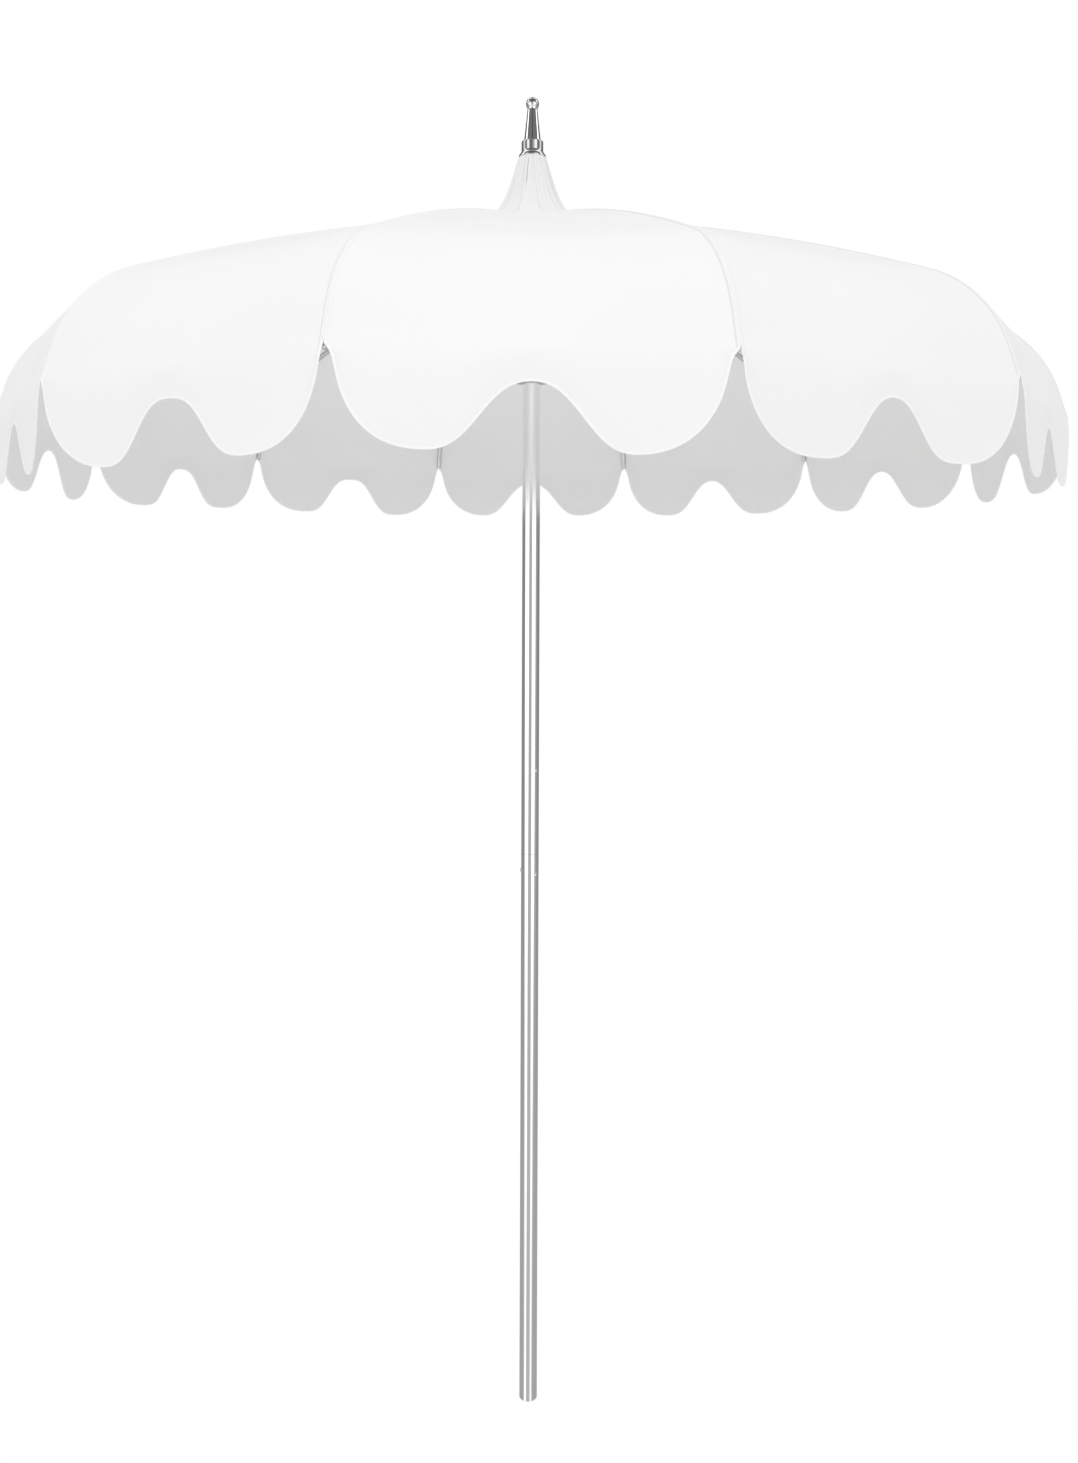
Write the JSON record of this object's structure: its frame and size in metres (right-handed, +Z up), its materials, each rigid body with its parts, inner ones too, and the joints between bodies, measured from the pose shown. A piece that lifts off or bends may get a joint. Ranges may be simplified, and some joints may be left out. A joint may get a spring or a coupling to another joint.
{
  "type": "garden parasol",
  "caption": "White canvas garden parasol with a scalloped pagoda canopy on hinged bent ribs, a sliding runner, and a two-piece aluminium pole with a chrome finial.",
  "frame": {"origin": "centre of the flat foot of the pole", "axes": "+Z up the pole to the finial, -Y towards the gore that faces front, canopy open"},
  "size_m": [1.9302, 1.9302, 2.6091],
  "materials": {
    "white_canvas": "matte",
    "pole_aluminium": "satin",
    "frame_metal": "satin",
    "bright_chrome": "polished",
    "grey_nylon": "satin",
    "spring_steel": "satin"
  },
  "bodies": {
    "pole": {"pole_lower": "pole_aluminium", "pole_upper": "pole_aluminium", "pole_spigot": "pole_aluminium", "foot_plug": "grey_nylon", "spigot_rivet": "bright_chrome", "key_rivet": "bright_chrome", "snap_spring": "spring_steel", "catch_spring": "spring_steel", "top_hub": "grey_nylon", "hub_ring_wire": "spring_steel", "hub_pin": "spring_steel", "neck_collar": "grey_nylon", "canopy_neck": "white_canvas", "pole_top_plug": "grey_nylon", "finial_stud": "spring_steel", "finial_base": "bright_chrome", "finial_stem": "bright_chrome"},
    "snap_button": {"snap_button": "bright_chrome"},
    "runner": {"runner": "grey_nylon"},
    "rib_01": {"rib_01": "frame_metal", "canopy_gore_01": "white_canvas"},
    "strut_01": {"strut_01": "frame_metal"},
    "rib_02": {"rib_02": "frame_metal", "canopy_gore_02": "white_canvas"},
    "strut_02": {"strut_02": "frame_metal"},
    "rib_03": {"rib_03": "frame_metal", "canopy_gore_03": "white_canvas"},
    "strut_03": {"strut_03": "frame_metal"},
    "rib_04": {"rib_04": "frame_metal", "canopy_gore_04": "white_canvas"},
    "strut_04": {"strut_04": "frame_metal"},
    "rib_05": {"rib_05": "frame_metal", "canopy_gore_05": "white_canvas"},
    "strut_05": {"strut_05": "frame_metal"},
    "rib_06": {"rib_06": "frame_metal", "canopy_gore_06": "white_canvas"},
    "strut_06": {"strut_06": "frame_metal"},
    "rib_07": {"rib_07": "frame_metal", "canopy_gore_07": "white_canvas"},
    "strut_07": {"strut_07": "frame_metal"},
    "rib_08": {"rib_08": "frame_metal", "canopy_gore_08": "white_canvas"},
    "strut_08": {"strut_08": "frame_metal"},
    "rib_09": {"rib_09": "frame_metal", "canopy_gore_09": "white_canvas"},
    "strut_09": {"strut_09": "frame_metal"},
    "rib_10": {"rib_10": "frame_metal", "canopy_gore_10": "white_canvas"},
    "strut_10": {"strut_10": "frame_metal"},
    "rib_11": {"rib_11": "frame_metal", "canopy_gore_11": "white_canvas"},
    "strut_11": {"strut_11": "frame_metal"},
    "rib_12": {"rib_12": "frame_metal", "canopy_gore_12": "white_canvas"},
    "strut_12": {"strut_12": "frame_metal"}
  },
  "joints": [
    {"name": "runner_slide", "type": "slide", "parent": "pole", "child": "runner", "axis": [0, 0, -1], "range_m": [0, 0.5899], "deforming": ["catch_spring", "canopy_gore_01", "canopy_gore_02", "canopy_gore_03", "canopy_gore_04", "canopy_gore_05", "canopy_gore_06", "canopy_gore_07", "canopy_gore_08", "canopy_gore_09", "canopy_gore_10", "canopy_gore_11", "canopy_gore_12"]},
    {"name": "snap_button_press", "type": "slide", "parent": "pole", "child": "snap_button", "axis": [1, 0, 0], "range_m": [0, 0.004], "stiffness_N_per_m": 150, "deforming": ["snap_spring"]},
    {"name": "rib_hinge_01", "type": "hinge", "parent": "pole", "child": "rib_01", "pos_m": [-0.01191, -0.04443, 2.349], "axis": [0.9659, -0.2588, 0], "range_deg": [0, 60]},
    {"name": "strut_hinge_01", "type": "hinge", "parent": "rib_01", "child": "strut_01", "pos_m": [-0.12196, -0.45517, 2.23828], "axis": [-0.9659, 0.2588, 0], "range_deg": [0, 114.14]},
    {"name": "rib_hinge_02", "type": "hinge", "parent": "pole", "child": "rib_02", "pos_m": [0.01191, -0.04443, 2.349], "axis": [0.9659, 0.2588, 0], "range_deg": [0, 60]},
    {"name": "strut_hinge_02", "type": "hinge", "parent": "rib_02", "child": "strut_02", "pos_m": [0.12196, -0.45517, 2.23828], "axis": [-0.9659, -0.2588, 0], "range_deg": [0, 114.14]},
    {"name": "rib_hinge_03", "type": "hinge", "parent": "pole", "child": "rib_03", "pos_m": [0.03253, -0.03253, 2.349], "axis": [0.7071, 0.7071, 0], "range_deg": [0, 60]},
    {"name": "strut_hinge_03", "type": "hinge", "parent": "rib_03", "child": "strut_03", "pos_m": [0.33321, -0.33321, 2.23828], "axis": [-0.7071, -0.7071, 0], "range_deg": [0, 114.14]},
    {"name": "rib_hinge_04", "type": "hinge", "parent": "pole", "child": "rib_04", "pos_m": [0.04443, -0.01191, 2.349], "axis": [0.2588, 0.9659, 0], "range_deg": [0, 60]},
    {"name": "strut_hinge_04", "type": "hinge", "parent": "rib_04", "child": "strut_04", "pos_m": [0.45517, -0.12196, 2.23828], "axis": [-0.2588, -0.9659, 0], "range_deg": [0, 114.14]},
    {"name": "rib_hinge_05", "type": "hinge", "parent": "pole", "child": "rib_05", "pos_m": [0.04443, 0.01191, 2.349], "axis": [-0.2588, 0.9659, 0], "range_deg": [0, 60]},
    {"name": "strut_hinge_05", "type": "hinge", "parent": "rib_05", "child": "strut_05", "pos_m": [0.45517, 0.12196, 2.23828], "axis": [0.2588, -0.9659, 0], "range_deg": [0, 114.14]},
    {"name": "rib_hinge_06", "type": "hinge", "parent": "pole", "child": "rib_06", "pos_m": [0.03253, 0.03253, 2.349], "axis": [-0.7071, 0.7071, 0], "range_deg": [0, 60]},
    {"name": "strut_hinge_06", "type": "hinge", "parent": "rib_06", "child": "strut_06", "pos_m": [0.33321, 0.33321, 2.23828], "axis": [0.7071, -0.7071, 0], "range_deg": [0, 114.14]},
    {"name": "rib_hinge_07", "type": "hinge", "parent": "pole", "child": "rib_07", "pos_m": [0.01191, 0.04443, 2.349], "axis": [-0.9659, 0.2588, 0], "range_deg": [0, 60]},
    {"name": "strut_hinge_07", "type": "hinge", "parent": "rib_07", "child": "strut_07", "pos_m": [0.12196, 0.45517, 2.23828], "axis": [0.9659, -0.2588, 0], "range_deg": [0, 114.14]},
    {"name": "rib_hinge_08", "type": "hinge", "parent": "pole", "child": "rib_08", "pos_m": [-0.01191, 0.04443, 2.349], "axis": [-0.9659, -0.2588, 0], "range_deg": [0, 60]},
    {"name": "strut_hinge_08", "type": "hinge", "parent": "rib_08", "child": "strut_08", "pos_m": [-0.12196, 0.45517, 2.23828], "axis": [0.9659, 0.2588, 0], "range_deg": [0, 114.14]},
    {"name": "rib_hinge_09", "type": "hinge", "parent": "pole", "child": "rib_09", "pos_m": [-0.03253, 0.03253, 2.349], "axis": [-0.7071, -0.7071, 0], "range_deg": [0, 60]},
    {"name": "strut_hinge_09", "type": "hinge", "parent": "rib_09", "child": "strut_09", "pos_m": [-0.33321, 0.33321, 2.23828], "axis": [0.7071, 0.7071, 0], "range_deg": [0, 114.14]},
    {"name": "rib_hinge_10", "type": "hinge", "parent": "pole", "child": "rib_10", "pos_m": [-0.04443, 0.01191, 2.349], "axis": [-0.2588, -0.9659, 0], "range_deg": [0, 60]},
    {"name": "strut_hinge_10", "type": "hinge", "parent": "rib_10", "child": "strut_10", "pos_m": [-0.45517, 0.12196, 2.23828], "axis": [0.2588, 0.9659, 0], "range_deg": [0, 114.14]},
    {"name": "rib_hinge_11", "type": "hinge", "parent": "pole", "child": "rib_11", "pos_m": [-0.04443, -0.01191, 2.349], "axis": [0.2588, -0.9659, 0], "range_deg": [0, 60]},
    {"name": "strut_hinge_11", "type": "hinge", "parent": "rib_11", "child": "strut_11", "pos_m": [-0.45517, -0.12196, 2.23828], "axis": [-0.2588, 0.9659, 0], "range_deg": [0, 114.14]},
    {"name": "rib_hinge_12", "type": "hinge", "parent": "pole", "child": "rib_12", "pos_m": [-0.03253, -0.03253, 2.349], "axis": [0.7071, -0.7071, 0], "range_deg": [0, 60]},
    {"name": "strut_hinge_12", "type": "hinge", "parent": "rib_12", "child": "strut_12", "pos_m": [-0.33321, -0.33321, 2.23828], "axis": [-0.7071, 0.7071, 0], "range_deg": [0, 114.14]}
  ],
  "couplings": [
    {"joint": "rib_hinge_01", "follows": "runner_slide", "rad_per_m": 1.7752},
    {"joint": "strut_hinge_01", "follows": "runner_slide", "rad_per_m": 3.3772},
    {"joint": "rib_hinge_02", "follows": "runner_slide", "rad_per_m": 1.7752},
    {"joint": "strut_hinge_02", "follows": "runner_slide", "rad_per_m": 3.3772},
    {"joint": "rib_hinge_03", "follows": "runner_slide", "rad_per_m": 1.7752},
    {"joint": "strut_hinge_03", "follows": "runner_slide", "rad_per_m": 3.3772},
    {"joint": "rib_hinge_04", "follows": "runner_slide", "rad_per_m": 1.7752},
    {"joint": "strut_hinge_04", "follows": "runner_slide", "rad_per_m": 3.3772},
    {"joint": "rib_hinge_05", "follows": "runner_slide", "rad_per_m": 1.7752},
    {"joint": "strut_hinge_05", "follows": "runner_slide", "rad_per_m": 3.3772},
    {"joint": "rib_hinge_06", "follows": "runner_slide", "rad_per_m": 1.7752},
    {"joint": "strut_hinge_06", "follows": "runner_slide", "rad_per_m": 3.3772},
    {"joint": "rib_hinge_07", "follows": "runner_slide", "rad_per_m": 1.7752},
    {"joint": "strut_hinge_07", "follows": "runner_slide", "rad_per_m": 3.3772},
    {"joint": "rib_hinge_08", "follows": "runner_slide", "rad_per_m": 1.7752},
    {"joint": "strut_hinge_08", "follows": "runner_slide", "rad_per_m": 3.3772},
    {"joint": "rib_hinge_09", "follows": "runner_slide", "rad_per_m": 1.7752},
    {"joint": "strut_hinge_09", "follows": "runner_slide", "rad_per_m": 3.3772},
    {"joint": "rib_hinge_10", "follows": "runner_slide", "rad_per_m": 1.7752},
    {"joint": "strut_hinge_10", "follows": "runner_slide", "rad_per_m": 3.3772},
    {"joint": "rib_hinge_11", "follows": "runner_slide", "rad_per_m": 1.7752},
    {"joint": "strut_hinge_11", "follows": "runner_slide", "rad_per_m": 3.3772},
    {"joint": "rib_hinge_12", "follows": "runner_slide", "rad_per_m": 1.7752},
    {"joint": "strut_hinge_12", "follows": "runner_slide", "rad_per_m": 3.3772}
  ]
}
